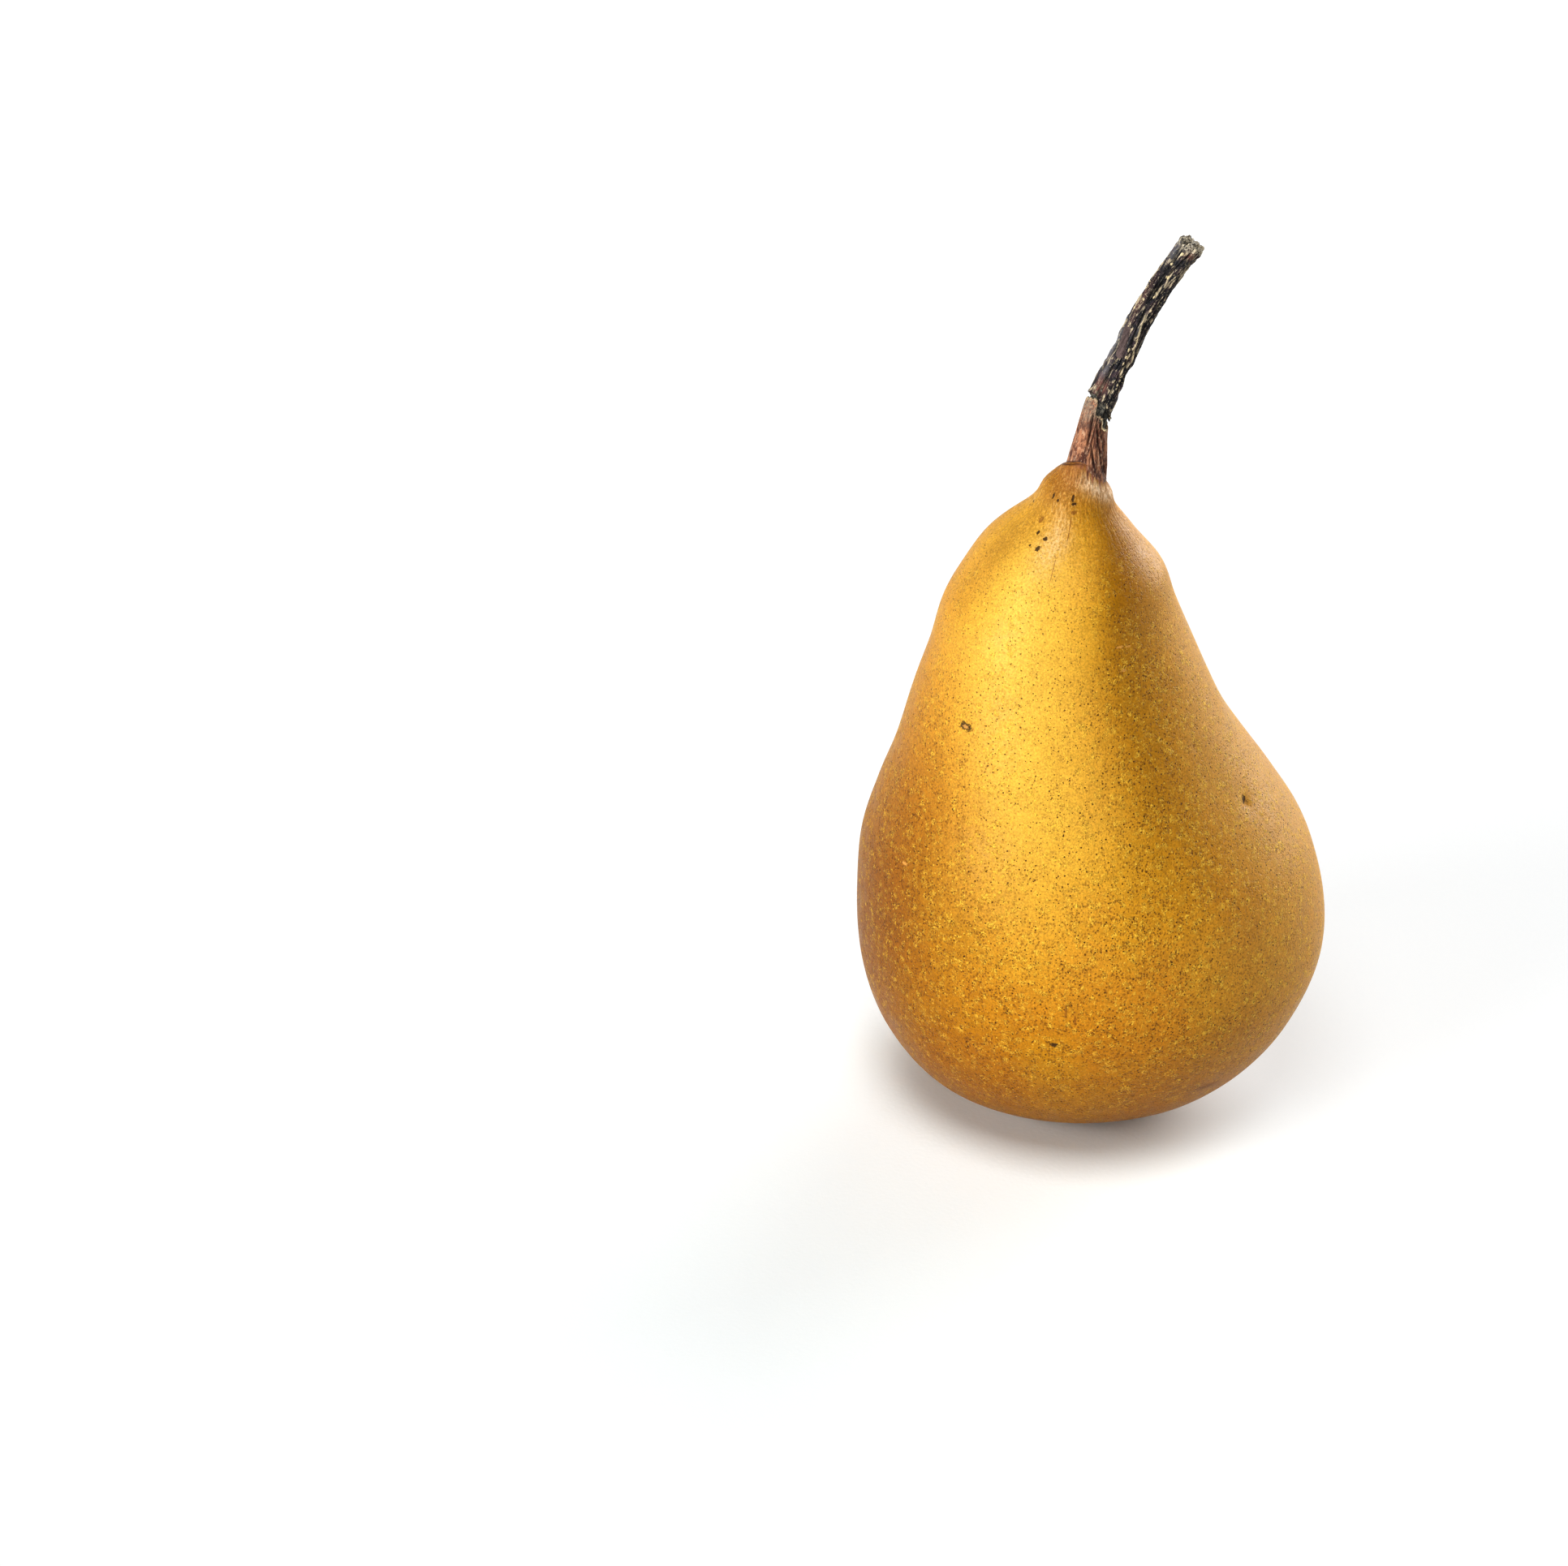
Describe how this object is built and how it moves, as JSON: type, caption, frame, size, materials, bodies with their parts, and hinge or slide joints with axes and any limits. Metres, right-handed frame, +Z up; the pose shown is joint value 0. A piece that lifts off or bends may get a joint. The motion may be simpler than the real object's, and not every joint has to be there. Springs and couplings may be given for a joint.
{
  "type": "pear",
  "caption": "Whole long-necked russet-gold pear standing on its base, with a bent woody stem on top and a dried calyx in the hollow underneath.",
  "frame": {"origin": "on the ground under the middle of the belly, at the middle of the bottom of the part's box", "axes": "+Z up along the pear's height, +X to the side that the stem bends to, -Y to the front"},
  "size_m": [0.0697, 0.0685, 0.1356],
  "materials": {
    "skin": "satin",
    "bark": "matte",
    "dried_calyx": "matte"
  },
  "bodies": {
    "root": {"fruit": "skin", "stem": "bark", "calyx": "dried_calyx"}
  },
  "joints": []
}
